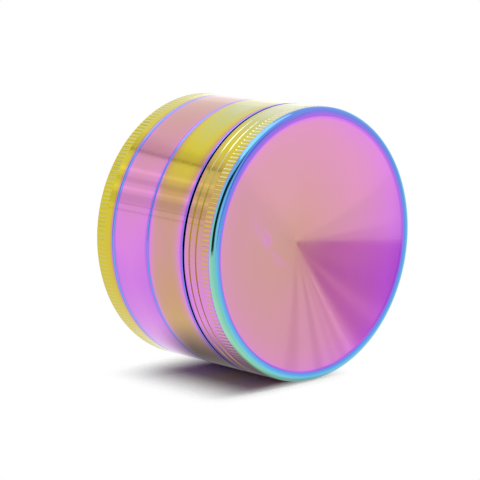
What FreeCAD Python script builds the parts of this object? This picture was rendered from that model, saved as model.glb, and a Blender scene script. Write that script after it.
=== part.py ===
import FreeCAD, Part

import math
import os

# A four-piece herb grinder, standing on its tray. Millimetres, with the grinder's axis on Z and the
# origin in the middle of the tray's underside. Every section is turned about that axis.

# Outside
outer_radius = 31.5
tray_height = 6.0
sifter_height = 12.3
chamber_height = 11.8
lid_height = 9.5
lid_gap = 0.4  # shadow line between the chamber's shoulder and the lid's skirt
base_chamfer = 0.4
tray_seam_chamfer = 0.25
sifter_seam_chamfer = 0.25
lid_seam_chamfer = 0.25

# Dished top of the lid, with two turned grooves round its side
dish_depth = 6.5
rim_width = 2.2
rim_round = 1.2
dish_round = 4.0
apex_radius = 0.4
lid_wall = 2.0
lid_inner_chamfer = 1.2
groove_count = 2
groove_rise = 1.9  # first groove's middle above the skirt's lower edge
groove_pitch = 2.1
groove_width = 0.45
groove_depth = 0.3

# Screwed joints: plain cylinders at the roots of the two threads, with room for both between them
thread_wall = 2.5
thread_room = 0.7
thread_mouth_chamfer = 0.3
spigot_wall = 1.8
spigot_chamfer = 0.3
spigot_end_gap = 0.4
tray_thread_length = 3.0
sifter_thread_length = 3.75

# Tray
tray_floor = 1.5
bowl_chamfer = 0.9

# Screen and its split ring, on a ledge inside the sifter's foot
screen_rise = 0.4
screen_thickness = 0.3
screen_edge_gap = 0.3
ring_groove_depth = 0.5
ring_thickness = 0.8
ring_width = 1.4
ring_head_gap = 0.1
ring_split_angle = 14.0
sifter_wall = 3.6

# Grinding chamber
chamber_wall = 4.1
chamber_floor = 2.5
floor_rise = 0.7  # underside of the floor above the sifter's mouth
floor_chamfer = 1.0
ceiling_chamfer = 1.0
lip_wall = 1.6
lip_height = 2.6
lip_chamfer = 0.2
lip_side_gap = 0.3

# Hub and boss with a magnet each
hub_radius = 4.2
hub_height = 4.9
hub_chamfer = 0.6
boss_gap = 0.3
magnet_radius = 3.0
magnet_thickness = 3.0
magnet_chamfer = 0.25
magnet_recess = 0.1
magnet_fit = 0.05

# Glide ring: a flat washer on the chamber's lip, with a rib that is clipped in the lid's shoulder
glide_thickness = 0.6
glide_rib_width = 0.6
glide_rib_height = 0.8
glide_fit = 0.05

# Diamond teeth on four circular tracks, lid and chamber by turns, and the drop holes below them
track_count = 4
tooth_width = 2.8  # across the track
tooth_length = 5.0  # along the track
tooth_tip_share = 0.86
tooth_floor_gap = 0.7
tooth_below_lip = 1.7
lid_inner_teeth = 4
chamber_inner_teeth = 8
lid_outer_teeth = 8
chamber_outer_teeth = 12
drop_hole_radius = 2.2
inner_drop_holes = 6
outer_drop_holes = 12

# Heights that follow
tray_seam = tray_height
sifter_seam = tray_seam + sifter_height
shoulder = sifter_seam + chamber_height
skirt_edge = shoulder + lid_gap
lid_top = skirt_edge + lid_height
lip_top = shoulder + lip_height
glide_top = lip_top + glide_thickness
floor_underside = sifter_seam + floor_rise
floor_top = floor_underside + chamber_floor
hub_top = floor_top + hub_height
boss_end = hub_top + boss_gap
screen_ledge = tray_seam + screen_rise
screen_top = screen_ledge + screen_thickness
ring_top = screen_top + ring_thickness
sifter_spigot_end = tray_seam - tray_thread_length
chamber_spigot_end = sifter_seam - sifter_thread_length

# Radii that follow
mouth_radius = outer_radius - thread_wall
spigot_radius = mouth_radius - thread_room
spigot_bore = spigot_radius - spigot_wall
sifter_bore = outer_radius - sifter_wall
ring_groove_radius = sifter_bore + ring_groove_depth
ring_outer_radius = ring_groove_radius - screen_edge_gap
chamber_bore = outer_radius - chamber_wall
lip_radius = chamber_bore + lip_wall
skirt_bore = lip_radius + lip_side_gap
dish_radius = outer_radius - rim_width
dish_slope = dish_depth / dish_radius
glide_rib_inner = (chamber_bore + lip_radius - glide_rib_width) / 2
glide_rib_outer = glide_rib_inner + glide_rib_width
pocket_radius = magnet_radius + magnet_fit
pocket_depth = magnet_thickness + magnet_recess
track_gap = (chamber_bore - hub_radius - track_count * tooth_width) / (track_count + 1)


def track_radius(track):
    """Middle radius of a tooth track, counted from the hub outwards."""
    return hub_radius + (track + 1) * track_gap + (track + 0.5) * tooth_width


def dish_height(radius):
    return lid_top - dish_depth + dish_slope * radius


def lid_underside(radius):
    return dish_height(radius) - lid_wall


def corner_arc(before, corner, after, radius):
    """Start, middle and end of the arc that rounds a corner between two straight runs."""
    back = (before - corner).normalize()
    ahead = (after - corner).normalize()
    half_angle = back.getAngle(ahead) / 2
    inward = (back + ahead).normalize()
    run = radius / math.tan(half_angle)
    middle = corner + inward * (radius / math.sin(half_angle) - radius)
    return corner + back * run, middle, corner + ahead * run


def section_wire(outline):
    """Closed wire in the XZ plane through (radius, height) corners, rounded where a third number says."""
    points = [FreeCAD.Vector(corner[0], 0, corner[1]) for corner in outline]
    rounds = [corner[2] if len(corner) > 2 else 0 for corner in outline]
    arcs = []
    for index, point in enumerate(points):
        if rounds[index] > 0:
            after = points[(index + 1) % len(points)]
            arcs.append(corner_arc(points[index - 1], point, after, rounds[index]))
        else:
            arcs.append((point, point, point))
    edges = []
    for index, (start, middle, end) in enumerate(arcs):
        edges.append(Part.LineSegment(arcs[index - 1][2], start).toShape())
        if start != end:
            edges.append(Part.Arc(start, middle, end).toShape())
    return Part.Wire(edges)


def turned(outline, sweep=360.0):
    """Solid turned from an outline about the grinder's axis."""
    origin = FreeCAD.Vector(0, 0, 0)
    axis = FreeCAD.Vector(0, 0, 1)
    return Part.Face(section_wire(outline)).revolve(origin, axis, sweep)


def diamond_wire(radius, height, share):
    """Diamond across a track at the given height, pointed along the track."""
    half_width = share * tooth_width / 2
    half_length = share * tooth_length / 2
    corners = [
        FreeCAD.Vector(radius - half_width, 0, height),
        FreeCAD.Vector(radius, -half_length, height),
        FreeCAD.Vector(radius + half_width, 0, height),
        FreeCAD.Vector(radius, half_length, height),
    ]
    return Part.makePolygon(corners + corners[:1])


def tooth(track, root, tip):
    """Diamond tooth on a track, tapered from root to tip."""
    radius = track_radius(track)
    wires = [diamond_wire(radius, root, 1.0), diamond_wire(radius, tip, tooth_tip_share)]
    return Part.makeLoft(wires, True, True)


def turned_copies(shape, count, first_step):
    """Copies spaced evenly round the axis, the first one turned by a share of the step."""
    copies = []
    for index in range(count):
        copy = shape.copy()
        turn = (index + first_step) * 360.0 / count
        copy.rotate(FreeCAD.Vector(0, 0, 0), FreeCAD.Vector(0, 0, 1), turn)
        copies.append(copy)
    return copies


def drop_holes():
    """Holes through the chamber's floor: under both lid tracks, and between the outer chamber teeth."""
    holes = []
    rings = ((0, inner_drop_holes, 0.5), (2, outer_drop_holes, 0.5), (3, chamber_outer_teeth, 0.0))
    for track, count, first_step in rings:
        place = FreeCAD.Vector(track_radius(track), 0, floor_underside)
        holes += turned_copies(Part.makeCylinder(drop_hole_radius, chamber_floor, place), count, first_step)
    return holes


def lid_grooves():
    """Outline corners of the turned grooves, from the upper groove down."""
    corners = []
    floor_half = groove_width / 4
    for index in reversed(range(groove_count)):
        middle = skirt_edge + groove_rise + index * groove_pitch
        corners += [
            (outer_radius, middle + groove_width / 2),
            (outer_radius - groove_depth, middle + floor_half),
            (outer_radius - groove_depth, middle - floor_half),
            (outer_radius, middle - groove_width / 2),
        ]
    return corners


def lid_shell():
    rib_floor = glide_top + glide_rib_height + glide_fit
    pocket_top = boss_end + pocket_depth
    outline = [
        (0, dish_height(apex_radius)),
        (apex_radius, dish_height(apex_radius)),
        (dish_radius, lid_top, dish_round),
        (outer_radius, lid_top, rim_round),
        *lid_grooves(),
        (outer_radius, skirt_edge + lid_seam_chamfer),
        (outer_radius - lid_seam_chamfer, skirt_edge),
        (skirt_bore + lid_seam_chamfer, skirt_edge),
        (skirt_bore, skirt_edge + lid_seam_chamfer),
        (skirt_bore, glide_top),
        (glide_rib_outer + glide_fit, glide_top),
        (glide_rib_outer + glide_fit, rib_floor),
        (glide_rib_inner - glide_fit, rib_floor),
        (glide_rib_inner - glide_fit, glide_top),
        (chamber_bore, glide_top),
        (chamber_bore, lid_underside(chamber_bore) - lid_inner_chamfer),
        (chamber_bore - lid_inner_chamfer, lid_underside(chamber_bore - lid_inner_chamfer)),
        (hub_radius + hub_chamfer, lid_underside(hub_radius + hub_chamfer)),
        (hub_radius, lid_underside(hub_radius) - hub_chamfer),
        (hub_radius, boss_end + magnet_chamfer),
        (hub_radius - magnet_chamfer, boss_end),
        (pocket_radius, boss_end),
        (pocket_radius, pocket_top),
        (0, pocket_top),
    ]
    return turned(outline)


def lid_teeth():
    """Two rings of teeth that stand on the lid's underside and are trimmed to its slope."""
    shell = lid_shell()
    tip = floor_top + tooth_floor_gap
    teeth = []
    for track, count in ((0, lid_inner_teeth), (2, lid_outer_teeth)):
        inside_wall = lid_underside(track_radius(track)) + lid_wall / 2
        trimmed = tooth(track, inside_wall, tip).cut(shell)
        teeth += turned_copies(trimmed.Solids[0], count, 0.5)
    return Part.makeCompound(teeth)


def magnet(foot):
    """Disc magnet with chamfered edges, from its lower face up."""
    top = foot + magnet_thickness
    return turned([
        (0, foot),
        (magnet_radius - magnet_chamfer, foot),
        (magnet_radius, foot + magnet_chamfer),
        (magnet_radius, top - magnet_chamfer),
        (magnet_radius - magnet_chamfer, top),
        (0, top),
    ])


def lid_magnet():
    return magnet(boss_end + magnet_recess)


def chamber_magnet():
    return magnet(hub_top - pocket_depth)


def glide_ring():
    rib_top = glide_top + glide_rib_height
    return turned([
        (chamber_bore + lip_chamfer, lip_top),
        (lip_radius, lip_top),
        (lip_radius, glide_top),
        (glide_rib_outer, glide_top),
        (glide_rib_outer, rib_top),
        (glide_rib_inner, rib_top),
        (glide_rib_inner, glide_top),
        (chamber_bore + lip_chamfer, glide_top),
    ])


def grinding_chamber():
    pocket_floor = hub_top - pocket_depth
    body = turned([
        (0, floor_underside),
        (spigot_bore - ceiling_chamfer, floor_underside),
        (spigot_bore, floor_underside - ceiling_chamfer),
        (spigot_bore, chamber_spigot_end),
        (spigot_radius - spigot_chamfer, chamber_spigot_end),
        (spigot_radius, chamber_spigot_end + spigot_chamfer),
        (spigot_radius, sifter_seam),
        (outer_radius - sifter_seam_chamfer, sifter_seam),
        (outer_radius, sifter_seam + sifter_seam_chamfer),
        (outer_radius, shoulder - lid_seam_chamfer),
        (outer_radius - lid_seam_chamfer, shoulder),
        (lip_radius, shoulder),
        (lip_radius, lip_top - lip_chamfer),
        (lip_radius - lip_chamfer, lip_top),
        (chamber_bore + lip_chamfer, lip_top),
        (chamber_bore, lip_top - lip_chamfer),
        (chamber_bore, floor_top + floor_chamfer),
        (chamber_bore - floor_chamfer, floor_top),
        (hub_radius + hub_chamfer, floor_top),
        (hub_radius, floor_top + hub_chamfer),
        (hub_radius, hub_top - magnet_chamfer),
        (hub_radius - magnet_chamfer, hub_top),
        (pocket_radius, hub_top),
        (pocket_radius, pocket_floor),
        (0, pocket_floor),
    ])
    return body.cut(drop_holes()).removeSplitter()


def chamber_teeth():
    """Two rings of teeth that stand on the chamber's floor, between the lid's."""
    tip = lip_top - tooth_below_lip
    teeth = []
    for track, count in ((1, chamber_inner_teeth), (3, chamber_outer_teeth)):
        teeth += turned_copies(tooth(track, floor_top, tip), count, 0.5)
    return Part.makeCompound(teeth)


def sifter_chamber():
    mouth_floor = chamber_spigot_end - spigot_end_gap
    groove_top = ring_top + ring_head_gap
    return turned([
        (spigot_bore, sifter_spigot_end),
        (spigot_radius - spigot_chamfer, sifter_spigot_end),
        (spigot_radius, sifter_spigot_end + spigot_chamfer),
        (spigot_radius, tray_seam),
        (outer_radius - tray_seam_chamfer, tray_seam),
        (outer_radius, tray_seam + tray_seam_chamfer),
        (outer_radius, sifter_seam - sifter_seam_chamfer),
        (outer_radius - sifter_seam_chamfer, sifter_seam),
        (mouth_radius + thread_mouth_chamfer, sifter_seam),
        (mouth_radius, sifter_seam - thread_mouth_chamfer),
        (mouth_radius, mouth_floor),
        (sifter_bore, mouth_floor),
        (sifter_bore, groove_top),
        (ring_groove_radius, groove_top),
        (ring_groove_radius, screen_ledge),
        (spigot_bore, screen_ledge),
    ])


def mesh_screen():
    place = FreeCAD.Vector(0, 0, screen_ledge)
    return Part.makeCylinder(ring_outer_radius, screen_thickness, place)


def screen_ring():
    """Flat split ring in the sifter's groove, open by the split angle."""
    ring = turned([
        (ring_outer_radius - ring_width, screen_top),
        (ring_outer_radius, screen_top),
        (ring_outer_radius, ring_top),
        (ring_outer_radius - ring_width, ring_top),
    ], 360.0 - ring_split_angle)
    ring.rotate(FreeCAD.Vector(0, 0, 0), FreeCAD.Vector(0, 0, 1), ring_split_angle / 2)
    return ring


def pollen_tray():
    mouth_floor = sifter_spigot_end - spigot_end_gap
    return turned([
        (0, 0),
        (outer_radius - base_chamfer, 0),
        (outer_radius, base_chamfer),
        (outer_radius, tray_seam - tray_seam_chamfer),
        (outer_radius - tray_seam_chamfer, tray_seam),
        (mouth_radius + thread_mouth_chamfer, tray_seam),
        (mouth_radius, tray_seam - thread_mouth_chamfer),
        (mouth_radius, mouth_floor),
        (spigot_bore, mouth_floor),
        (spigot_bore, tray_floor + bowl_chamfer),
        (spigot_bore - bowl_chamfer, tray_floor),
        (0, tray_floor),
    ])


pieces = (
    lid_shell,
    lid_teeth,
    lid_magnet,
    glide_ring,
    grinding_chamber,
    chamber_teeth,
    chamber_magnet,
    sifter_chamber,
    mesh_screen,
    screen_ring,
    pollen_tray,
)

os.makedirs("parts", exist_ok=True)
for piece in pieces:
    solid = piece()
    solid.exportStep("parts/" + piece.__name__ + ".step")
    print(piece.__name__, solid.isValid(), len(solid.Solids), round(solid.Volume, 1))
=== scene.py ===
import math

import bmesh
import bpy
from mathutils import Matrix, Vector


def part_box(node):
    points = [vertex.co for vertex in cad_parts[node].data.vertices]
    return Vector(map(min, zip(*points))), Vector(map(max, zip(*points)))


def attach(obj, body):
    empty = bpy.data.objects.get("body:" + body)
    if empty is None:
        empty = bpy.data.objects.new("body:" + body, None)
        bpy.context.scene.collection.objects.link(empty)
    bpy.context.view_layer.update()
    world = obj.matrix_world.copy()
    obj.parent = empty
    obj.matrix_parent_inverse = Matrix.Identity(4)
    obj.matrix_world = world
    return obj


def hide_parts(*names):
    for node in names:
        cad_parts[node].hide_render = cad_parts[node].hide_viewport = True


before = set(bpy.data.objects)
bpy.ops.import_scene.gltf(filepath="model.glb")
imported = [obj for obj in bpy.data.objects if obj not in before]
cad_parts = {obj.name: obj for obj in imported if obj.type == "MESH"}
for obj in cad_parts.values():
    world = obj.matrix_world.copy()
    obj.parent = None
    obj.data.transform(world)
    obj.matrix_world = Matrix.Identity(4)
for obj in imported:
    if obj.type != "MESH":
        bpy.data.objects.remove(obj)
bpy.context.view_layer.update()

# Sizes read from the frame, in metres
mm = 0.001
tray_low, tray_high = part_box("pollen_tray")
sifter_low, sifter_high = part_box("sifter_chamber")
chamber_low, chamber_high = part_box("grinding_chamber")
outer_radius = tray_high.x
base_face = tray_low.z
tray_seam = tray_high.z
sifter_spigot_end = sifter_low.z
sifter_seam = sifter_high.z
chamber_spigot_end = chamber_low.z
lip_top = chamber_high.z
lid_tooth_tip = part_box("lid_teeth")[0].z
chamber_tooth_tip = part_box("chamber_teeth")[1].z
lid_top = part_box("lid_shell")[1].z
glide_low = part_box("glide_ring")[0].z
screen_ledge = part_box("mesh_screen")[0].z
ring_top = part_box("screen_ring")[1].z
hub_pocket_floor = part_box("chamber_magnet")[0].z
lid_pocket_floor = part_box("lid_magnet")[1].z

# Heights and radii that the frame's boxes don't give
glide_thickness = 0.6 * mm
glide_top = glide_low + glide_thickness
shoulder = 30.1 * mm
skirt_edge = 30.5 * mm
floor_underside = 19.0 * mm
floor_top = 21.5 * mm
hub_top = 26.4 * mm
boss_end = 26.7 * mm
mouth_radius = 29.0 * mm
spigot_radius = 28.3 * mm
spigot_bore = 26.5 * mm
sifter_bore = 27.9 * mm
ring_groove_radius = 28.4 * mm
chamber_bore = 27.4 * mm
lip_radius = 29.0 * mm
skirt_bore = 29.3 * mm
dish_radius = 29.3 * mm
dish_apex = 33.5 * mm
dish_slope = (lid_top - dish_apex) / dish_radius
lid_wall = 2.0 * mm
rim_fillet = 1.2 * mm
hub_radius = 4.2 * mm
pocket_radius = 3.05 * mm

# Edges and corners
edge_break = 0.08 * mm
seam_chamfer = 0.06 * mm
skirt_chamfer = 0.25 * mm
hub_chamfer = 0.25 * mm
hub_foot = 0.6 * mm
lip_chamfer = 0.2 * mm
floor_corner = 1.0 * mm
lid_corner = 1.2 * mm
lead_in = 0.3 * mm
spigot_room = 0.4 * mm
ring_room = 0.1 * mm

# Knurl, threads, teeth and holes
knurl_grooves = 190
groove_columns = [0.205, 0.305, 0.445, 0.545]  # edges and floor of a groove, as shares of its pitch
knurl_depth = 0.06 * mm
knurl_run_out = 0.2 * mm
thread_pitch = 1.5 * mm
thread_height = 0.45 * mm
thread_sink = 0.05 * mm
thread_steps = 72
spigot_thread_start = 0.7 * mm  # above the spigot's end
mouth_thread_start = 0.9 * mm
sifter_thread_turns = 1.0
chamber_thread_turns = 1.5
tooth_width = 2.8 * mm
tooth_length = 5.0 * mm
tooth_tip_share = 0.86
tooth_sink = 0.3 * mm
track_radii = [8.0 * mm, 13.2 * mm, 18.4 * mm, 23.6 * mm]
lid_tooth_rings = [(track_radii[0], 4), (track_radii[2], 8)]  # track and count
chamber_tooth_rings = [(track_radii[1], 8), (track_radii[3], 12)]
drop_hole_rings = [(track_radii[0], 6, 0.5), (track_radii[2], 12, 0.5), (track_radii[3], 12, 0.0)]
drop_hole_radius = 2.2 * mm
drop_hole_edge = 0.2 * mm
drop_hole_segments = 20

# Fineness of the meshes
plain_columns = 288
turned_sectors = 8
fine_run = 0.5 * mm  # a shorter run at a corner is made with fewer steps
hold = 0.12 * mm  # distance from an edge of the loop that holds its shading
weld = mm / 2000  # points nearer than this are merged
close = mm / 1000  # points nearer than this to the axis or to a height lie on it
sharp_angle = math.radians(35)


def srgb(red, green, blue):
    """Linear colour from 8-bit display values."""
    shares = [value / 255 for value in (red, green, blue)]
    return [s / 12.92 if s <= 0.04045 else ((s + 0.055) / 1.055) ** 2.4 for s in shares] + [1.0]


def turn_outline(corners, columns, open_heights=()):
    """Turn a closed outline of (radius, height, round run) corners about the grinder's axis.

    Edges along the axis, and flat edges at the open heights, are left out of the turned wall.
    """
    bm = bmesh.new()
    points = [bm.verts.new((radius, 0, height)) for radius, height, run in corners]
    bm.faces.new(points)
    for point, (radius, height, run) in zip(points, corners):
        if run:
            segments = 8 if run > fine_run else 2
            bmesh.ops.bevel(bm, geom=[point], offset=run, offset_type="OFFSET", segments=segments,
                            profile=0.5, affect="VERTICES", material=-1)
    bmesh.ops.delete(bm, geom=bm.faces[:], context="FACES_ONLY")
    for edge in [edge for edge in bm.edges if edge.calc_length() > 6 * hold]:
        start, end = edge.verts
        length = edge.calc_length()
        part, point = bmesh.utils.edge_split(edge, start, hold / length)
        rest = part if end in part.verts else edge
        bmesh.utils.edge_split(rest, end, hold / (length - hold))

    def on_axis(edge):
        return all(vert.co.x < close for vert in edge.verts)

    def at_height(edge, height):
        return all(abs(vert.co.z - height) < close for vert in edge.verts)

    left_out = [edge for edge in bm.edges
                if on_axis(edge) or any(at_height(edge, height) for height in open_heights)]
    bmesh.ops.delete(bm, geom=left_out, context="EDGES")
    sector = 2 * math.pi / turned_sectors
    bmesh.ops.spin(bm, geom=bm.verts[:] + bm.edges[:], cent=(0, 0, 0), axis=(0, 0, 1), angle=sector,
                   steps=columns // turned_sectors)
    bmesh.ops.spin(bm, geom=bm.verts[:] + bm.edges[:] + bm.faces[:], cent=(0, 0, 0), axis=(0, 0, 1),
                   angle=2 * math.pi - sector, steps=turned_sectors - 1, use_duplicate=True)
    bmesh.ops.remove_doubles(bm, verts=bm.verts[:], dist=weld)
    bmesh.ops.recalc_face_normals(bm, faces=bm.faces[:])
    return bm


def knurl_corners(foot, head):
    """Outline of a knurled band in the side and of its run-outs, from the lower one up."""
    heights = (foot - knurl_run_out, foot, head, head + knurl_run_out)
    return [(outer_radius, height, 0) for height in heights]


def turn_knurled_outline(corners, foot, head):
    """Turn an outline whose side has knurled grooves pressed in between two heights."""
    per_groove = len(groove_columns)
    bm = turn_outline(corners, knurl_grooves * per_groove)
    pitch = 2 * math.pi / knurl_grooves
    columns = [[] for share in groove_columns]
    for vert in bm.verts:
        turn = math.atan2(vert.co.y, vert.co.x) / pitch
        columns[round(turn * per_groove) % per_groove].append(vert)
    for index, share in enumerate(groove_columns):
        slide = Matrix.Rotation((share - index / per_groove) * pitch, 3, "Z")
        bmesh.ops.rotate(bm, cent=(0, 0, 0), matrix=slide, verts=columns[index])
    margin = 0.01 * mm
    pressed = [vert for vert in columns[1] + columns[2]
               if foot - margin < vert.co.z < head + margin and vert.co.xy.length > outer_radius - mm]
    inward = 1 - knurl_depth / outer_radius
    bmesh.ops.scale(bm, vec=(inward, inward, 1), verts=pressed)
    return bm


def join(bm, other):
    """Move the geometry of one bmesh into another."""
    carrier = bpy.data.meshes.new("carrier")
    other.to_mesh(carrier)
    other.free()
    bm.from_mesh(carrier)
    bpy.data.meshes.remove(carrier)


def thread_ridge(root, crest, start, turns, start_angle):
    """Wind a right-hand screw ridge from a root radius to a crest radius, with tapered ends."""
    bm = bmesh.new()
    half_root, half_crest = 0.5 * mm, 0.15 * mm
    end_share = 0.2
    outline = [(root, -half_root), (crest, -half_crest), (crest, half_crest), (root, half_root)]
    section = [bm.verts.new((radius, 0, start + height)) for radius, height in outline]
    edges = [bm.edges.new((section[index], section[index - 1])) for index in range(len(section))]
    bmesh.ops.rotate(bm, cent=(0, 0, 0), matrix=Matrix.Rotation(start_angle, 3, "Z"), verts=section)
    wound = bmesh.ops.spin(bm, geom=section + edges, cent=(0, 0, 0), axis=(0, 0, 1),
                           angle=2 * math.pi * turns, steps=round(turns * thread_steps),
                           dvec=(0, 0, thread_pitch / thread_steps))
    last = [item for item in wound["geom_last"] if isinstance(item, bmesh.types.BMVert)]
    for end in (section, last):
        foot = (end[0].co + end[3].co) / 2
        bmesh.ops.scale(bm, vec=[end_share] * 3, space=Matrix.Translation(-foot), verts=end)
    bmesh.ops.holes_fill(bm, edges=[edge for edge in bm.edges if edge.is_boundary], sides=4)
    bmesh.ops.recalc_face_normals(bm, faces=bm.faces[:])
    return bm


def spigot_thread(spigot_end, turns):
    """Ridge round a spigot, from a little above its end."""
    start = spigot_end + spigot_thread_start
    return thread_ridge(spigot_radius - thread_sink, spigot_radius + thread_height, start, turns, 0)


def mouth_thread(spigot_end, turns):
    """Ridge in a mouth, half a turn from that of the spigot which it takes."""
    start = spigot_end + mouth_thread_start
    return thread_ridge(mouth_radius + thread_sink, mouth_radius - thread_height, start, turns, math.pi)


def tooth_ring(track, count, root, tip):
    """A ring of tapered diamond teeth round one track, from root height to tip height."""
    bm = bmesh.new()
    foot = bmesh.ops.create_circle(bm, cap_ends=True, segments=4, radius=1)["verts"]
    bmesh.ops.scale(bm, vec=(tooth_width / 2, tooth_length / 2, 1), verts=foot)
    raised = bmesh.ops.extrude_face_region(bm, geom=bm.faces[:])
    top = [item for item in raised["geom"] if isinstance(item, bmesh.types.BMVert)]
    bmesh.ops.scale(bm, vec=(tooth_tip_share, tooth_tip_share, 1), verts=top)
    bmesh.ops.translate(bm, vec=(0, 0, tip - root), verts=top)
    bmesh.ops.recalc_face_normals(bm, faces=bm.faces[:])
    sharp = [edge for edge in bm.edges if any(vert in top for vert in edge.verts)]
    bmesh.ops.bevel(bm, geom=sharp, offset=2 * edge_break, offset_type="OFFSET", segments=2, profile=0.5,
                    affect="EDGES", material=-1)
    bmesh.ops.translate(bm, vec=(track, 0, root), verts=bm.verts[:])
    pitch = 2 * math.pi / count
    bmesh.ops.rotate(bm, cent=(0, 0, 0), matrix=Matrix.Rotation(pitch / 2, 3, "Z"), verts=bm.verts[:])
    bmesh.ops.spin(bm, geom=bm.verts[:] + bm.edges[:] + bm.faces[:], cent=(0, 0, 0), axis=(0, 0, 1),
                   angle=pitch * (count - 1), steps=count - 1, use_duplicate=True)
    return bm


def drop_floor(holes, columns):
    """The chamber's floor, drilled by rings of (track, count, first step) holes with broken edges."""
    bm = bmesh.new()
    edge_radius = drop_hole_radius + drop_hole_edge
    levels = [(floor_top, edge_radius), (floor_top - drop_hole_edge, drop_hole_radius),
              (floor_underside + drop_hole_edge, drop_hole_radius), (floor_underside, edge_radius)]
    borders = {floor_top: [chamber_bore - floor_corner, hub_radius + hub_foot],
               floor_underside: [spigot_bore - floor_corner]}

    def ring(place, height, radius, segments):
        made = bmesh.ops.create_circle(bm, cap_ends=False, segments=segments, radius=radius,
                                       matrix=place @ Matrix.Translation((0, 0, height)))
        return list(dict.fromkeys(edge for vert in made["verts"] for edge in vert.link_edges))

    centre = Matrix.Identity(4)
    rims = {height: [edge for radius in radii for edge in ring(centre, height, radius, columns)]
            for height, radii in borders.items()}
    for track, count, first in holes:
        for index in range(count):
            turn = Matrix.Rotation((index + first) * 2 * math.pi / count, 4, "Z")
            place = turn @ Matrix.Translation((track, 0, 0))
            loops = [ring(place, height, radius, drop_hole_segments) for height, radius in levels]
            rims[floor_top] += loops[0]
            rims[floor_underside] += loops[-1]
            for upper, lower in zip(loops, loops[1:]):
                bmesh.ops.bridge_loops(bm, edges=upper + lower)
    for height, edges in rims.items():
        bmesh.ops.triangle_fill(bm, use_beauty=True, use_dissolve=False, edges=edges, normal=(0, 0, 1))
    return bm


def finish_piece(bm, name, nodes, body, materials):
    """Turn a bmesh into a piece that stands for CAD nodes and rides on their body."""
    mesh = bpy.data.meshes.new(name)
    bm.to_mesh(mesh)
    bm.free()
    for material in materials:
        mesh.materials.append(material)
    mesh.shade_smooth()
    mesh.set_sharp_from_angle(angle=sharp_angle)
    piece = bpy.data.objects.new(name, mesh)
    bpy.context.scene.collection.objects.link(piece)
    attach(piece, body)
    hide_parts(*nodes)
    return piece


# Colours of the film as it grows thicker, from 0 to 1
film_orders = [
    (0.00, srgb(226, 226, 200)),
    (0.08, srgb(196, 196, 108)),
    (0.16, srgb(212, 196, 28)),
    (0.26, srgb(204, 174, 74)),
    (0.34, srgb(200, 156, 98)),
    (0.42, srgb(205, 150, 142)),
    (0.50, srgb(216, 142, 184)),
    (0.58, srgb(218, 128, 225)),
    (0.66, srgb(184, 98, 230)),
    (0.74, srgb(140, 116, 232)),
    (0.82, srgb(90, 144, 228)),
    (0.90, srgb(100, 186, 230)),
    (0.96, srgb(118, 200, 182)),
    (1.00, srgb(160, 218, 178)),
]


class Nodes:
    """Short calls for building a node tree."""

    def __init__(self, tree):
        self.tree = tree

    def feed(self, node, inputs):
        """Link sockets to a node's inputs, and set plain values on them."""
        for name, value in inputs.items():
            if isinstance(value, bpy.types.NodeSocket):
                self.tree.links.new(value, node.inputs[name])
            else:
                node.inputs[name].default_value = value

    def add(self, kind, inputs=None, **settings):
        node = self.tree.nodes.new("ShaderNode" + kind)
        for name, value in settings.items():
            setattr(node, name, value)
        self.feed(node, inputs or {})
        return node

    def math(self, operation, first, second=0.0, clamp=False):
        return self.add("Math", {0: first, 1: second}, operation=operation, use_clamp=clamp).outputs[0]

    def ramp(self, value, stops, interpolation="LINEAR"):
        node = self.add("ValToRGB", {"Fac": value})
        node.color_ramp.interpolation = interpolation
        elements = node.color_ramp.elements
        while len(elements) < len(stops):
            elements.new(0.5)
        for element, (place, colour) in zip(elements, sorted(stops, key=lambda stop: stop[0])):
            element.position = place
            element.color = colour if isinstance(colour, (list, tuple)) else (colour, colour, colour, 1)
        return node.outputs["Color"]

    def remap(self, value, low, high, to_low, to_high, interpolation="LINEAR"):
        node = self.add("MapRange", {"Value": value, "From Min": low, "From Max": high, "To Min": to_low,
                                     "To Max": to_high}, interpolation_type=interpolation)
        return node.outputs["Result"]

    def along(self, vector, axis):
        """Length of a vector along an axis."""
        return self.add("VectorMath", {0: vector, 1: axis}, operation="DOT_PRODUCT").outputs["Value"]

    def fade(self, whole, limits):
        """Whole value, faded by each (value, where it is clear, where it is full)."""
        for value, clear, full in limits:
            whole = self.math("MULTIPLY", whole, self.remap(value, clear, full, 0.0, 1.0, "SMOOTHSTEP"))
        return whole

    def bump(self, height, strength, distance):
        node = self.add("Bump", {"Height": height, "Strength": strength, "Distance": distance})
        return node.outputs["Normal"]


def new_material(name):
    """A material, the helper for its nodes and its Principled shader."""
    material = bpy.data.materials.new(name)
    material.use_nodes = True
    tree = material.node_tree
    return material, Nodes(tree), tree.nodes["Principled BSDF"]


def new_group(name, inputs, outputs):
    """A node group with sockets given by name and kind, and the helper for its nodes."""
    tree = bpy.data.node_groups.new(name, "ShaderNodeTree")
    for socket, kind in inputs:
        tree.interface.new_socket(socket, in_out="INPUT", socket_type=kind)
    for socket, kind in outputs:
        tree.interface.new_socket(socket, in_out="OUTPUT", socket_type=kind)
    source = tree.nodes.new("NodeGroupInput")
    sink = tree.nodes.new("NodeGroupOutput")
    return tree, Nodes(tree), source.outputs, sink.inputs


def film_colour_group():
    """Colour of the coating from the thickness of its film, thin gold to thick green."""
    tree, nodes, given, out = new_group("film_colour", [("Thickness", "NodeSocketFloat")],
                                        [("Color", "NodeSocketColor")])
    tree.links.new(nodes.ramp(given["Thickness"], film_orders), out["Color"])
    return tree


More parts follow.
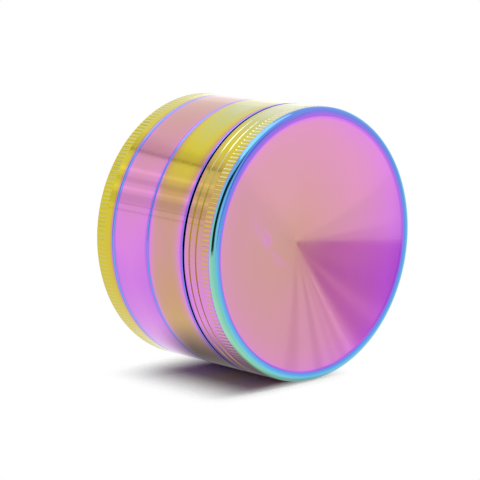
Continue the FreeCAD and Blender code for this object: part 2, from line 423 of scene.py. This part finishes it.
def turned_place_group():
    """Radius, height and angle of a point about the grinder's axis, with the fine marks of turning."""
    names = ("Radius", "Height", "Angle", "Marks", "Cloud")
    tree, nodes, _, out = new_group("turned_place", [], [(name, "NodeSocketFloat") for name in names])
    place = nodes.add("TexCoord").outputs["Object"]
    apart = nodes.add("SeparateXYZ", {0: place}).outputs
    level = nodes.add("CombineXYZ", {0: apart[0], 1: apart[1]}).outputs[0]
    radius = nodes.add("VectorMath", {0: level}, operation="LENGTH").outputs["Value"]
    angle = nodes.add("TexGradient", {"Vector": place}, gradient_type="RADIAL").outputs["Fac"]
    section = nodes.add("CombineXYZ", {0: radius, 1: apart[2]}).outputs[0]
    marks = nodes.add("TexNoise", {"Vector": section, "Scale": 5200, "Detail": 3, "Roughness": 0.7},
                      noise_dimensions="2D").outputs["Fac"]
    cloud = nodes.add("TexNoise", {"Vector": place, "Scale": 45, "Detail": 2, "Roughness": 0.5})
    values = (radius, apart[2], angle, marks, cloud.outputs["Fac"])
    for name, value in zip(names, values):
        tree.links.new(value, out[name])
    return tree


film_colour = film_colour_group()
turned_place = turned_place_group()

# Change of the film's thickness round the axis: degrees of azimuth and the change there. On the barrel and
# the chamber it is partly the coating's own variation and partly a painted highlight: the film thins to a
# pale colour near 105 to 195 degrees, the side turned up from the resting surface, standing in for the
# washed-out reflection of the overhead light.
barrel_film_and_painted_top_highlight = [(0, -0.08), (45, 0.05), (75, -0.1), (105, -0.3), (135, -0.43), (150, -0.43), (165, -0.36),
                (180, -0.29), (195, -0.18), (205, -0.12), (215, -0.04), (225, 0.0), (240, 0.08), (255, 0.08),
                (280, 0.05), (315, 0.06)]
chamber_film_and_painted_top_highlight = [(0, -0.08), (45, 0.05), (75, -0.1), (105, -0.25), (135, -0.36), (150, -0.36), (165, -0.31),
                 (180, -0.27), (192, -0.22), (199, -0.1), (206, -0.04), (215, 0.0), (225, 0.0), (240, -0.05),
                 (255, -0.09), (280, -0.04), (315, 0.06)]
dish_round = [(0, 0.1), (20, 0.13), (45, 0.13), (90, 0.08), (135, 0.03), (180, 0.0), (225, -0.02),
              (270, 0.0), (315, 0.05)]
rim_round = [(0, -0.04), (45, -0.04), (90, -0.10), (135, -0.18), (180, -0.14), (205, -0.06), (225, -0.02),
             (270, 0.0), (315, -0.02)]
barrel_gloss = (0.07, 0.12)  # least and most roughness
dish_gloss = (0.08, 0.12)


def round_ramp(nodes, angle, changes):
    """Value that follows (degrees, change) pairs round the axis and closes on itself."""
    middle = 0.5  # keeps the ramp's values above 0
    stops = [(((degrees + 180) % 360) / 360, middle + change) for degrees, change in changes]
    stops.append((1.0, middle + dict(changes)[180]))
    return nodes.math("SUBTRACT", nodes.ramp(angle, stops), middle)


def finger_smear(nodes):
    """Faint streaks that a fingertip left on the dish, beside its middle."""
    half_length, half_width = 12.5 * mm, 2.6 * mm
    middle = (-8 * mm, -7 * mm, 0)
    stretch = (0.3, 1.0, 1.0)
    place = nodes.add("TexCoord").outputs["Object"]
    local = nodes.add("Mapping", {"Vector": place, "Location": middle, "Scale": (half_length, half_width, 1)},
                      vector_type="TEXTURE").outputs[0]
    apart = nodes.add("SeparateXYZ", {0: local}).outputs
    level = nodes.add("CombineXYZ", {0: apart[0], 1: apart[1]}).outputs[0]
    away = nodes.add("VectorMath", {0: level}, operation="LENGTH").outputs["Value"]
    drawn = nodes.add("VectorMath", {0: level, 1: stretch}, operation="MULTIPLY").outputs["Vector"]
    noise = nodes.add("TexNoise", {"Vector": drawn, "Scale": 7, "Detail": 4, "Roughness": 0.65},
                      noise_dimensions="2D").outputs["Fac"]
    streaks = nodes.remap(noise, 0.48, 0.68, 0.0, 1.0)
    return nodes.fade(streaks, [(away, 1.0, 0.2)])


def coated_metal(name, along, stops, changes, round_share, gloss, recess=0.0, edge_changes=None,
                 handled=False):
    """Turned metal under an interference film.

    The film's thickness follows stops of (millimetres, thickness) along Radius or Height, and changes round
    the axis the more the farther out, with changes of its own on the thick film of an edge. Grooves and
    knurling in the side take less film, by the recess value. A handled dish has a finger's smear, and its
    middle is duller.
    """
    edge_film = (0.58, 0.72)
    cloud_change = 0.06
    smear_change = 0.2
    side_reach = 0.5 * mm
    dull_reach, most_dull = 10 * mm, 0.2
    material, nodes, principled = new_material(name)
    place = nodes.add("Group", node_tree=turned_place).outputs
    low, high = stops[0][0] * mm, stops[-1][0] * mm
    share = nodes.remap(place[along], low, high, 0.0, 1.0)
    depth = nodes.ramp(share, [((at * mm - low) / (high - low), film) for at, film in stops])
    far_out = nodes.math("MULTIPLY", place["Radius"], round_share / outer_radius)
    on_edge = nodes.remap(depth, *edge_film, 0.0, 1.0)
    away_from_edges = nodes.math("MULTIPLY", far_out, nodes.math("SUBTRACT", 1.0, on_edge))
    # On the barrel and the chamber these changes round the axis include a painted highlight: thinner, paler
    # film on the side turned up.
    change = nodes.math("MULTIPLY", round_ramp(nodes, place["Angle"], changes), away_from_edges)
    if edge_changes:
        edge_change = nodes.math("MULTIPLY", round_ramp(nodes, place["Angle"], edge_changes), on_edge)
        change = nodes.math("ADD", change, edge_change)
    cloudy = nodes.math("MULTIPLY", nodes.math("SUBTRACT", place["Cloud"], 0.5), cloud_change)
    in_side = nodes.math("GREATER_THAN", place["Radius"], outer_radius - side_reach)
    below_side = nodes.remap(place["Radius"], outer_radius - knurl_depth, outer_radius, recess, 0.0)
    sunk = nodes.math("MULTIPLY", below_side, in_side)
    varied = nodes.math("ADD", nodes.math("ADD", depth, change), cloudy)
    rough = nodes.remap(place["Marks"], 0.3, 0.7, *gloss)
    if handled:
        smear = nodes.math("MULTIPLY", finger_smear(nodes), smear_change)
        varied = nodes.math("ADD", varied, smear)
        rough = nodes.math("ADD", rough, nodes.remap(place["Radius"], dull_reach, 0.0, 0.0, most_dull))
    film = nodes.math("SUBTRACT", varied, sunk, clamp=True)
    nodes.feed(principled, {
        "Base Color": nodes.add("Group", {"Thickness": film}, node_tree=film_colour).outputs["Color"],
        "Roughness": rough,
        "Normal": nodes.bump(place["Marks"], strength=0.006, distance=0.01 * mm),
        "Tangent": nodes.add("Tangent", direction_type="RADIAL", axis="Z").outputs[0],
        "Metallic": 1.0,
        "Anisotropic": 0.6,
        "Anisotropic Rotation": 0.25,
        "Coat Weight": 0.4,
        "Coat Roughness": 0.08,
    })
    return material


def dish_metal():
    """Pink dish, with a rim that goes through violet and blue to green."""
    stops = [(0, 0.425), (14, 0.44), (24, 0.46), (28.4, 0.49), (28.9, 0.55), (29.1, 0.64), (29.25, 0.76),
             (29.4, 0.84), (30.2, 0.90), (30.6, 0.95), (31.5, 1.0)]
    return coated_metal("dish_coating", "Radius", stops, dish_round, round_share=1.0, gloss=dish_gloss,
                        edge_changes=rim_round, handled=True)


def lid_side_metal():
    """Pink to gold side of the lid, blue at the skirt's edge and under the rim."""
    stops = [(22, 0.42), (29.5, 0.45), (30.5, 0.86), (30.65, 0.70), (31, 0.56), (31.6, 0.50), (33, 0.48),
             (38.3, 0.48), (38.6, 0.58), (38.8, 0.8), (40, 1.0)]
    return coated_metal("lid_coating", "Height", stops, barrel_film_and_painted_top_highlight, round_share=1.0, gloss=barrel_gloss,
                        recess=0.25)


def chamber_metal():
    """Peach to yellow chamber, violet and blue towards its seams."""
    stops = [(14, 0.4), (18.0, 0.6), (18.3, 0.86), (18.42, 0.82), (18.6, 0.7), (18.9, 0.6), (19.6, 0.5),
             (21, 0.44), (26, 0.42), (27.6, 0.46), (28.6, 0.54), (29.3, 0.63), (29.9, 0.74), (30.1, 0.82),
             (31, 0.6), (33, 0.45)]
    return coated_metal("chamber_coating", "Height", stops, chamber_film_and_painted_top_highlight, round_share=1.0,
                        gloss=barrel_gloss)


def sifter_metal():
    """Pink to violet sifter, blue at its seams."""
    stops = [(3, 0.45), (5.7, 0.6), (6.0, 0.88), (6.45, 0.86), (6.6, 0.74), (6.85, 0.63), (7.5, 0.585),
             (12, 0.57), (16.9, 0.585), (17.6, 0.62), (17.95, 0.7), (18.1, 0.82), (18.3, 0.86)]
    return coated_metal("sifter_coating", "Height", stops, barrel_film_and_painted_top_highlight, round_share=0.38, gloss=barrel_gloss)


def tray_metal():
    """Gold tray, pink and blue at its seam."""
    stops = [(0, 0.5), (0.3, 0.35), (0.6, 0.2), (1, 0.185), (4.6, 0.185), (5.2, 0.24), (5.5, 0.42),
             (5.75, 0.62), (5.88, 0.8), (6, 0.86)]
    return coated_metal("tray_coating", "Height", stops, barrel_film_and_painted_top_highlight, round_share=0.1, gloss=barrel_gloss,
                        recess=0.09)


def lid_height(radius):
    """Height of the dish's surface at a radius."""
    return dish_apex + dish_slope * radius


def groove_corners(middle):
    """Outline of one turned groove in the lid's side, from its upper edge to its lower edge."""
    half, flat, depth = 0.225 * mm, 0.1125 * mm, 0.3 * mm
    return [(outer_radius, middle + half, 0), (outer_radius - depth, middle + flat, 0),
            (outer_radius - depth, middle - flat, 0), (outer_radius, middle - half, 0)]


def make_lid():
    """Dished lid with a knurled band, two turned grooves, a skirt, a boss for its magnet, and teeth."""
    knurl_foot, knurl_head = 36.4 * mm, 38.55 * mm
    rib_floor, rib_outer, rib_inner = 34.15 * mm, 28.55 * mm, 27.85 * mm
    upper_groove, lower_groove = 34.5 * mm, 32.4 * mm
    dish_flat, dish_edge = 0.4 * mm, 0.44 * mm
    margin = 0.1 * mm
    underside = chamber_bore - lid_corner
    boss_root = hub_radius + hub_foot
    corners = [(0, lid_height(dish_flat), 0), (dish_flat, lid_height(dish_flat), 0),
               (dish_radius, lid_top, dish_edge), (outer_radius, lid_top, rim_fillet)]
    corners += reversed(knurl_corners(knurl_foot, knurl_head))
    corners += groove_corners(upper_groove) + groove_corners(lower_groove)
    corners += [(outer_radius, skirt_edge + skirt_chamfer, edge_break),
                (outer_radius - skirt_chamfer, skirt_edge, edge_break),
                (skirt_bore + skirt_chamfer, skirt_edge, edge_break),
                (skirt_bore, skirt_edge + skirt_chamfer, 0),
                (skirt_bore, glide_top, 0), (rib_outer, glide_top, 0), (rib_outer, rib_floor, 0),
                (rib_inner, rib_floor, 0), (rib_inner, glide_top, 0), (chamber_bore, glide_top, 0),
                (chamber_bore, lid_height(chamber_bore) - lid_wall - lid_corner, 0),
                (underside, lid_height(underside) - lid_wall, 0),
                (boss_root, lid_height(boss_root) - lid_wall, 0),
                (hub_radius, lid_height(hub_radius) - lid_wall - hub_foot, 0),
                (hub_radius, boss_end + hub_chamfer, edge_break),
                (hub_radius - hub_chamfer, boss_end, edge_break),
                (pocket_radius, boss_end, 0), (pocket_radius, lid_pocket_floor, 0), (0, lid_pocket_floor, 0)]
    bm = turn_knurled_outline(corners, knurl_foot, knurl_head)
    dish_slot, side_slot = 0, 1
    for face in bm.faces:
        middle = face.calc_center_median()
        on_dish = middle.xy.length < dish_radius and middle.z > lid_height(0) - margin
        on_rim = middle.z > lid_top - rim_fillet
        face.material_index = dish_slot if on_dish or on_rim else side_slot
    for track, count in lid_tooth_rings:
        root = lid_height(track) - lid_wall / 2
        teeth = tooth_ring(track, count, root, lid_tooth_tip)
        for face in teeth.faces:
            face.material_index = side_slot
        join(bm, teeth)
    return finish_piece(bm, "lid", ["lid_shell", "lid_teeth"], "lid",
                        [dish_metal(), lid_side_metal()])


def make_chamber():
    """Upper section with a lip, a drilled floor, teeth, a hub for its magnet, and a threaded spigot."""
    corners = [(0, floor_underside, 0), (spigot_bore - floor_corner, floor_underside, 0),
               (spigot_bore, floor_underside - floor_corner, 0),
               (spigot_bore, chamber_spigot_end, 0), (spigot_radius - lead_in, chamber_spigot_end, 0),
               (spigot_radius, chamber_spigot_end + lead_in, 0), (spigot_radius, sifter_seam, 0),
               (outer_radius - seam_chamfer, sifter_seam, 0),
               (outer_radius, sifter_seam + seam_chamfer, edge_break),
               (outer_radius, shoulder - seam_chamfer, edge_break),
               (outer_radius - seam_chamfer, shoulder, 0), (lip_radius, shoulder, 0),
               (lip_radius, lip_top - lip_chamfer, edge_break),
               (lip_radius - lip_chamfer, lip_top, 0), (chamber_bore + lip_chamfer, lip_top, 0),
               (chamber_bore, lip_top - lip_chamfer, edge_break), (chamber_bore, floor_top + floor_corner, 0),
               (chamber_bore - floor_corner, floor_top, 0), (hub_radius + hub_foot, floor_top, 0),
               (hub_radius, floor_top + hub_foot, 0), (hub_radius, hub_top - hub_chamfer, edge_break),
               (hub_radius - hub_chamfer, hub_top, edge_break), (pocket_radius, hub_top, 0),
               (pocket_radius, hub_pocket_floor, 0), (0, hub_pocket_floor, 0)]
    bm = turn_outline(corners, plain_columns, open_heights=(floor_underside, floor_top))
    join(bm, drop_floor(drop_hole_rings, plain_columns))
    bmesh.ops.remove_doubles(bm, verts=bm.verts[:], dist=weld)
    bmesh.ops.recalc_face_normals(bm, faces=bm.faces[:])
    for track, count in chamber_tooth_rings:
        join(bm, tooth_ring(track, count, floor_top - tooth_sink, chamber_tooth_tip))
    join(bm, spigot_thread(chamber_spigot_end, chamber_thread_turns))
    return finish_piece(bm, "chamber", ["grinding_chamber", "chamber_teeth"], "chamber",
                        [chamber_metal()])


def make_sifter():
    """Middle section with a threaded spigot, a groove for the screen and its ring, and a threaded mouth."""
    mouth_floor = chamber_spigot_end - spigot_room
    groove_top = ring_top + ring_room
    corners = [(spigot_bore, sifter_spigot_end, 0), (spigot_radius - lead_in, sifter_spigot_end, 0),
               (spigot_radius, sifter_spigot_end + lead_in, 0), (spigot_radius, tray_seam, 0),
               (outer_radius - seam_chamfer, tray_seam, 0),
               (outer_radius, tray_seam + seam_chamfer, edge_break),
               (outer_radius, sifter_seam - seam_chamfer, edge_break),
               (outer_radius - seam_chamfer, sifter_seam, 0),
               (mouth_radius + lead_in, sifter_seam, edge_break), (mouth_radius, sifter_seam - lead_in, 0),
               (mouth_radius, mouth_floor, 0), (sifter_bore, mouth_floor, 0), (sifter_bore, groove_top, 0),
               (ring_groove_radius, groove_top, 0), (ring_groove_radius, screen_ledge, 0),
               (spigot_bore, screen_ledge, 0)]
    bm = turn_outline(corners, plain_columns)
    join(bm, spigot_thread(sifter_spigot_end, sifter_thread_turns))
    join(bm, mouth_thread(chamber_spigot_end, chamber_thread_turns))
    return finish_piece(bm, "sifter", ["sifter_chamber"], "sifter", [sifter_metal()])


def make_tray():
    """Shallow bottom section with a knurled band, a bowl and a threaded mouth."""
    knurl_foot, knurl_head = 0.75 * mm, 3.1 * mm
    mouth_floor = sifter_spigot_end - spigot_room
    tray_floor = 1.5 * mm
    base_chamfer = 0.4 * mm
    bowl_chamfer = 0.9 * mm
    corners = [(0, base_face, 0), (outer_radius - base_chamfer, base_face, edge_break),
               (outer_radius, base_face + base_chamfer, edge_break)]
    corners += knurl_corners(knurl_foot, knurl_head)
    corners += [(outer_radius, tray_seam - seam_chamfer, edge_break),
                (outer_radius - seam_chamfer, tray_seam, 0),
                (mouth_radius + lead_in, tray_seam, edge_break), (mouth_radius, tray_seam - lead_in, 0),
                (mouth_radius, mouth_floor, 0), (spigot_bore, mouth_floor, 0),
                (spigot_bore, tray_floor + bowl_chamfer, 0), (spigot_bore - bowl_chamfer, tray_floor, 0),
                (0, tray_floor, 0)]
    bm = turn_knurled_outline(corners, knurl_foot, knurl_head)
    join(bm, mouth_thread(sifter_spigot_end, sifter_thread_turns))
    return finish_piece(bm, "tray", ["pollen_tray"], "tray", [tray_metal()])


# Finishes of the CAD nodes that stay
def plain_finish(name, colour, metallic, gloss, scale, stretch=(1, 1, 1)):
    """A finish with fine grain in its colour, roughness and surface."""
    material, nodes, principled = new_material(name)
    place = nodes.add("TexCoord").outputs["Object"]
    stretched = nodes.add("Mapping", {"Vector": place, "Scale": stretch}).outputs[0]
    grain = nodes.add("TexNoise", {"Vector": stretched, "Scale": scale, "Detail": 4}).outputs["Fac"]
    dark = [0.8 * value for value in colour[:3]] + [1]
    nodes.feed(principled, {
        "Base Color": nodes.ramp(grain, [(0.3, dark), (0.7, colour)]),
        "Roughness": nodes.remap(grain, 0.3, 0.7, *gloss),
        "Normal": nodes.bump(grain, strength=0.1, distance=0.02 * mm),
        "Metallic": metallic,
    })
    return material


def woven_steel():
    """Plain-weave wire cloth, with see-through gaps between the wires."""
    wire_pitch = 0.25 * mm
    gap_below = 0.72
    material, nodes, principled = new_material("woven_steel")
    place = nodes.add("TexCoord").outputs["Object"]
    apart = nodes.add("SeparateXYZ", {0: place}).outputs
    waves = []
    for axis in (0, 1):
        turns = nodes.math("MULTIPLY", apart[axis], math.pi / wire_pitch)
        waves.append(nodes.math("ABSOLUTE", nodes.math("COSINE", turns)))
    over = nodes.math("MAXIMUM", *waves)
    nodes.feed(principled, {
        # The base colour darkens from each wire's middle toward the gaps between the wires: painted shade.
        "Base Color": nodes.ramp(over, [(0.55, srgb(70, 70, 72)), (1.0, srgb(190, 190, 186))]),
        "Roughness": nodes.remap(over, 0.5, 1.0, 0.5, 0.28),
        "Alpha": nodes.math("GREATER_THAN", over, gap_below),
        "Normal": nodes.bump(over, strength=0.6, distance=0.05 * mm),
        "Metallic": 1.0,
    })
    return material


def dress_inner_pieces():
    """Give the magnets, the glide ring, the screen and its ring their finishes."""
    nickel = plain_finish("magnet_nickel", srgb(196, 193, 186), metallic=1.0, gloss=(0.16, 0.3), scale=900)
    nylon = plain_finish("glide_nylon", srgb(232, 231, 224), metallic=0.0, gloss=(0.38, 0.52), scale=700)
    drawn_steel = plain_finish("ring_steel", srgb(178, 178, 176), metallic=1.0, gloss=(0.22, 0.36), scale=400,
                               stretch=(1, 1, 8))
    finishes = {
        "lid_magnet": nickel,
        "chamber_magnet": nickel,
        "glide_ring": nylon,
        "mesh_screen": woven_steel(),
        "screen_ring": drawn_steel,
    }
    for node, material in finishes.items():
        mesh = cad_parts[node].data
        mesh.materials.clear()
        mesh.materials.append(material)


# Stage: the grinder lies on its side, so its resting plane stands upright in this frame
lie_up = Vector((-1, 1, 0)).normalized()
lie_aside = Vector((-1, -1, 0)).normalized()
view_back = Vector((-0.5999, -0.3542, 0.7174)).normalized()
view_right = lie_up.cross(view_back).normalized()
view_up = view_back.cross(view_right)
look_at = Vector((0, 0, 19.6 * mm))
ahead = (view_back - lie_up * view_back.dot(lie_up)).normalized()
camera_reach = 487.9 * mm
aim_left, aim_down = 3.248 * mm, 1.442 * mm
white = srgb(255, 255, 255)


def add_stage_object(name, bm, material, hidden=()):
    """Stage piece from a bmesh, hidden from the kinds of rays named."""
    mesh = bpy.data.meshes.new(name)
    bm.to_mesh(mesh)
    bm.free()
    mesh.materials.append(material)
    thing = bpy.data.objects.new(name, mesh)
    bpy.context.scene.collection.objects.link(thing)
    for kind in hidden:
        setattr(thing, "visible_" + kind, False)
    return thing


def mirrored_ray(nodes):
    """1 for a ray that is seen in a mirror, and not for light that reaches the floor by way of one."""
    path = nodes.add("LightPath").outputs
    not_by_floor = nodes.math("LESS_THAN", path["Diffuse Depth"], 0.5)
    return nodes.math("MULTIPLY", path["Is Glossy Ray"], not_by_floor)


def make_floor():
    """White surface under the barrel, which takes its shadow and fades into the white room.

    Mirrors show it as an even shade.
    """
    half_size = 0.12
    gap = 0.02 * mm
    mirrored_strength = 0.18
    material, nodes, principled = new_material("white_surface")
    place = nodes.add("TexCoord").outputs["Object"]
    grain = nodes.add("TexNoise", {"Vector": place, "Scale": 60, "Detail": 3}).outputs["Fac"]
    nodes.feed(principled, {
        "Base Color": nodes.ramp(grain, [(0.3, srgb(252, 252, 252)), (0.7, srgb(254, 254, 254))]),
        "Roughness": 0.9,
        "Specular IOR Level": 0.0,
    })
    aside = nodes.along(place, lie_aside)
    along = nodes.add("SeparateXYZ", {0: place}).outputs[2]
    upper_face = nodes.math("SUBTRACT", 1.0, nodes.add("NewGeometry").outputs["Backfacing"])
    shown = nodes.fade(upper_face, [(aside, 34 * mm, 14 * mm), (aside, -14 * mm, 2 * mm),
                                    (along, 44 * mm, 35 * mm), (along, -2 * mm, 13 * mm)])
    clear_part = nodes.add("BsdfTransparent").outputs[0]
    mirrored_part = nodes.add("Emission", {"Strength": mirrored_strength}).outputs[0]
    surface = nodes.add("MixShader", {0: mirrored_ray(nodes), 1: principled.outputs[0], 2: mirrored_part})
    mixed = nodes.add("MixShader", {0: shown, 1: clear_part, 2: surface.outputs[0]})
    nodes.feed(material.node_tree.nodes["Material Output"], {"Surface": mixed.outputs[0]})
    bm = bmesh.new()
    middle = look_at - lie_up * (outer_radius + gap)
    turn = lie_up.to_track_quat("Z", "Y").to_matrix().to_4x4()
    bmesh.ops.create_grid(bm, x_segments=1, y_segments=1, size=half_size,
                          matrix=Matrix.Translation(middle) @ turn)
    return add_stage_object("resting_surface", bm, material)


# What the metal mirrors: degrees sideways from the camera, degrees of rise, colour and strength
room_reach = 1.2
fan_rise = (-8.4, 24)
room_patches = [
    ("faint_right", (54, 66), (-11, -8.4), srgb(240, 226, 242), 1.0),
    ("fan_1", (54, 61.8), fan_rise, srgb(222, 180, 236), 1.0),
    ("fan_2", (61.8, 63.2), fan_rise, srgb(200, 142, 228), 1.0),
    ("fan_3", (63.2, 66.2), fan_rise, srgb(224, 178, 234), 1.0),
    ("fan_4", (66.2, 70), fan_rise, srgb(210, 158, 228), 1.0),
    ("fan_5", (70, 72), fan_rise, srgb(234, 198, 240), 1.0),
    ("fan_6", (72, 75.6), fan_rise, srgb(214, 164, 226), 1.0),
    ("fan_7", (75.6, 77.2), fan_rise, srgb(236, 208, 238), 1.0),
    ("fan_bright", (77.4, 78.1), fan_rise, white, 1.3),
    ("fan_8", (78.1, 80), fan_rise, srgb(238, 222, 236), 1.0),
    ("fan_9", (81, 82), fan_rise, srgb(242, 228, 240), 1.0),
    ("fan_10", (84, 86), fan_rise, srgb(238, 228, 236), 1.0),
    ("fan_11", (90, 93), fan_rise, srgb(242, 234, 240), 1.0),
    ("low_right", (62, 108), (-40, -17), white, 1.1),
    ("overhead", (-180, 180), (64, 88), white, 2.2),
    ("rim_glint", (-165, -112), (50, 58), white, 3.0),
    ("back_low", (-215, -145), (-8, 12), white, 1.25),
    ("back_high", (-215, -145), (12, 22), white, 1.1),
    ("dark_bar", (-135, -95), (37.5, 38.2), srgb(110, 100, 92), 1.0),
    ("soft_bar", (-135, -95), (38.2, 41), srgb(236, 231, 230), 1.0),
    ("light_streak_1", (-128, -82), (29.6, 31.2), white, 1.25),
    ("grey_band_1", (-128, -82), (24.4, 27), srgb(236, 233, 236), 1.0),
    ("light_streak_2", (-128, -82), (20.6, 22), white, 1.2),
    ("grey_band_2", (-125, -82), (14, 18.6), srgb(236, 233, 237), 1.0),
    ("dark_line_1", (-125, -82), (12.8, 13.3), srgb(196, 190, 198), 1.0),
    ("dark_line_2", (-125, -82), (9, 9.4), srgb(200, 194, 202), 1.0),
]


def make_room_patch(name, sideways, rise, colour, strength):
    """Part of the room that the metal mirrors, in degrees sideways from the camera and degrees of rise."""
    rise_steps, sideways_steps = 12, 36
    material, nodes, principled = new_material(name)
    tree = material.node_tree
    tree.nodes.remove(principled)
    glow = nodes.add("Emission", {"Color": colour, "Strength": strength})
    nodes.feed(tree.nodes["Material Output"], {"Surface": glow.outputs[0]})
    first, last = (math.radians(angle) for angle in sideways)
    low, high = (math.radians(angle) for angle in rise)
    bm = bmesh.new()
    foot = bm.verts.new(look_at + Matrix.Rotation(first, 3, lie_up) @ ahead * room_reach)
    across = Matrix.Rotation(first, 3, lie_up) @ lie_up.cross(ahead)
    bmesh.ops.rotate(bm, cent=look_at, matrix=Matrix.Rotation(-low, 3, across), verts=[foot])
    bmesh.ops.spin(bm, geom=[foot], cent=look_at, axis=-across, angle=high - low, steps=rise_steps)
    bmesh.ops.spin(bm, geom=bm.verts[:] + bm.edges[:], cent=look_at, axis=lie_up, angle=last - first,
                   steps=sideways_steps)
    return add_stage_object(name, bm, material, hidden=("camera", "diffuse", "shadow"))


def make_key_light():
    """Broad overhead light, a little behind the grinder."""
    lean = 0.12
    reach = 0.6
    lamp = bpy.data.lights.new("key", "SUN")
    lamp.energy = 2.5
    lamp.angle = math.radians(35)
    key = bpy.data.objects.new("key", lamp)
    bpy.context.scene.collection.objects.link(key)
    away = (lie_up + lie_up.cross(ahead) * lean - ahead * lean).normalized()
    key.location = look_at + away * reach
    key.rotation_mode = "QUATERNION"
    key.rotation_quaternion = away.to_track_quat("Z", "Y")
    key.visible_glossy = False


def make_world():
    """White room that lights softly, with a dark side that shows in mirrors alone."""
    room_light = 0.25
    darkness = 0.97
    world = bpy.data.worlds.new("white_room")
    bpy.context.scene.world = world
    world.use_nodes = True
    nodes = Nodes(world.node_tree)
    path = nodes.add("LightPath").outputs
    mirrored = mirrored_ray(nodes)
    seen_plain = nodes.math("MAXIMUM", path["Is Camera Ray"], path["Is Transmission Ray"])
    seen = nodes.math("MAXIMUM", seen_plain, mirrored)
    strength = nodes.remap(seen, 0.0, 1.0, room_light, 1.0)
    toward = nodes.add("TexCoord").outputs["Generated"]
    rise, aside = nodes.along(toward, lie_up), nodes.along(toward, lie_aside)
    along = nodes.add("SeparateXYZ", {0: toward}).outputs[2]
    dark = nodes.fade(nodes.math("MULTIPLY", mirrored, darkness),
                      [(rise, -0.14, -0.03), (rise, 0.84, 0.72), (aside, 0.0, 0.2), (along, 0.0, 0.12),
                       (along, 0.9, 0.75)])
    lit = nodes.math("SUBTRACT", 1.0, dark)
    nodes.feed(world.node_tree.nodes["Background"],
               {"Color": (1, 1, 1, 1), "Strength": nodes.math("MULTIPLY", strength, lit)})


def make_camera():
    """Camera at the photograph's viewing angle, upright over the resting surface."""
    camera = bpy.data.objects.new("camera", bpy.data.cameras.new("camera"))
    bpy.context.scene.collection.objects.link(camera)
    camera.data.sensor_width = 36
    camera.data.lens = 156.6
    camera.data.clip_start = 0.01
    camera.data.clip_end = 20
    camera.location = look_at + view_back * camera_reach
    aim = look_at - view_right * aim_left - view_up * aim_down
    back = (camera.location - aim).normalized()
    right = lie_up.cross(back).normalized()
    up = back.cross(right)
    camera.rotation_mode = "QUATERNION"
    camera.rotation_quaternion = Matrix((right, up, back)).transposed().to_quaternion()
    bpy.context.scene.camera = camera


make_world()
make_floor()
make_key_light()
for patch in room_patches:
    make_room_patch(*patch)
make_camera()
make_lid()
make_chamber()
make_sifter()
make_tray()
dress_inner_pieces()

bpy.context.scene.view_settings.view_transform = "Standard"
